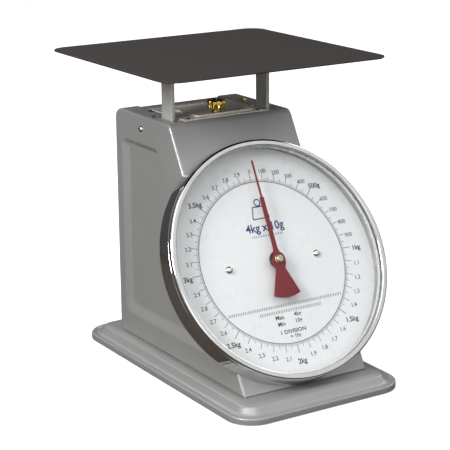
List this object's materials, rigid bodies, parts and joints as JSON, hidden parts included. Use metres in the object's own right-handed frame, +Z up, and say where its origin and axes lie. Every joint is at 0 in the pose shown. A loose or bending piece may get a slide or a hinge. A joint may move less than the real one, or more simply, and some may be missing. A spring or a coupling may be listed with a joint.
{
  "type": "bench dial spring scale",
  "caption": "Bench spring scale with a flat tray on two posts, a sloping round dial with a rack-driven pointer and a zero knob.",
  "frame": {"origin": "on the ground under the middle of the base", "axes": "+Z up, the dial faces -Y, +X to the right seen from the front"},
  "size_m": [0.24, 0.303, 0.2988],
  "materials": {
    "paint": "silver-grey hammertone enamel",
    "deck": "dark grey enamel",
    "tray": "dark charcoal matt enamel",
    "steel": "plain sheet steel",
    "zinc": "bright plated",
    "chrome": "polished",
    "brass": "turned",
    "rubber": "matt",
    "dial": "white enamel with black print",
    "pointer": "dark red enamel",
    "black": "black",
    "lens": "clear"
  },
  "bodies": {
    "root": {"base_plate": "paint", "rubber_feet": "rubber", "base_screws": "zinc", "side_panel_left": "paint", "side_panel_right": "paint", "front_panel": "paint", "back_cover": "paint", "top_plate": "deck", "adjuster_plate": "deck", "seal_plug": "brass", "top_screws": "zinc", "side_screws": "zinc", "back_screws": "zinc", "dial_can": "paint", "dial_plate": "dial", "dial_screws": "zinc", "spacer_ring": "chrome", "lens_gasket": "rubber", "lens": "lens", "bezel": "chrome", "main_frame": "steel", "link_pins": "zinc", "thrust_bush": "brass", "front_movement_plate": "brass", "rear_movement_plate": "brass", "movement_pillars": "zinc", "front_bush": "brass", "rear_bush": "brass", "rack_guide": "brass", "spring_left": "steel", "spring_right": "steel"},
    "platform": {"tray": "tray", "tray_support": "steel", "tray_nuts": "zinc", "post_left": "paint", "post_right": "paint", "yoke": "steel", "post_studs": "zinc", "drive_arm": "steel", "drive_pin": "zinc", "spring_eyes": "zinc"},
    "rack": {"rack": "brass"},
    "pointer": {"pinion_shaft": "zinc", "pinion": "brass", "pointer_hub": "black", "pointer": "pointer", "pointer_cap": "brass"},
    "upper_link": {"upper_link": "steel"},
    "lower_link": {"lower_link": "steel"},
    "zero_knob": {"zero_knob": "brass"},
    "hanger": {"zero_screw": "zinc", "spring_hanger": "steel"}
  },
  "joints": [
    {"name": "platform_slide", "type": "slide", "parent": "root", "child": "platform", "axis": [0, 0, -1], "range_m": [0, 0.0165], "stiffness_N_per_m": 2378, "springref_m": -0.006, "deforming": ["spring_left", "spring_right"]},
    {"name": "rack_slide", "type": "slide", "parent": "root", "child": "rack", "axis": [0, -0.4839, -0.8751], "range_m": [0, 0.01886]},
    {"name": "pointer_spin", "type": "hinge", "parent": "root", "child": "pointer", "pos_m": [0, -0.06272, 0.11578], "axis": [0, 0.8751, -0.4839], "range_deg": [0, 360.2]},
    {"name": "upper_link_pivot", "type": "hinge", "parent": "root", "child": "upper_link", "pos_m": [0, 0.096, 0.19], "axis": [1, 0, 0], "range_deg": [0, 15.1]},
    {"name": "lower_link_pivot", "type": "hinge", "parent": "root", "child": "lower_link", "pos_m": [0, 0.096, 0.06], "axis": [1, 0, 0], "range_deg": [0, 15.1]},
    {"name": "zero_knob_turn", "type": "hinge", "parent": "root", "child": "zero_knob", "pos_m": [0, 0.033, 0.245], "axis": [0, 0, 1], "range_deg": [-360, 360]},
    {"name": "hanger_slide", "type": "slide", "parent": "root", "child": "hanger", "axis": [0, 0, 1], "range_m": [-0.0008, 0.0008]}
  ],
  "couplings": [
    {"joint": "rack_slide", "follows": "platform_slide", "ratio": 1.1427},
    {"joint": "pointer_spin", "follows": "platform_slide", "rad_per_m": 380.9},
    {"joint": "upper_link_pivot", "follows": "platform_slide", "rad_per_m": 15.873},
    {"joint": "lower_link_pivot", "follows": "platform_slide", "rad_per_m": 15.873},
    {"joint": "zero_knob_turn", "follows": "hanger_slide", "rad_per_m": 7854}
  ]
}
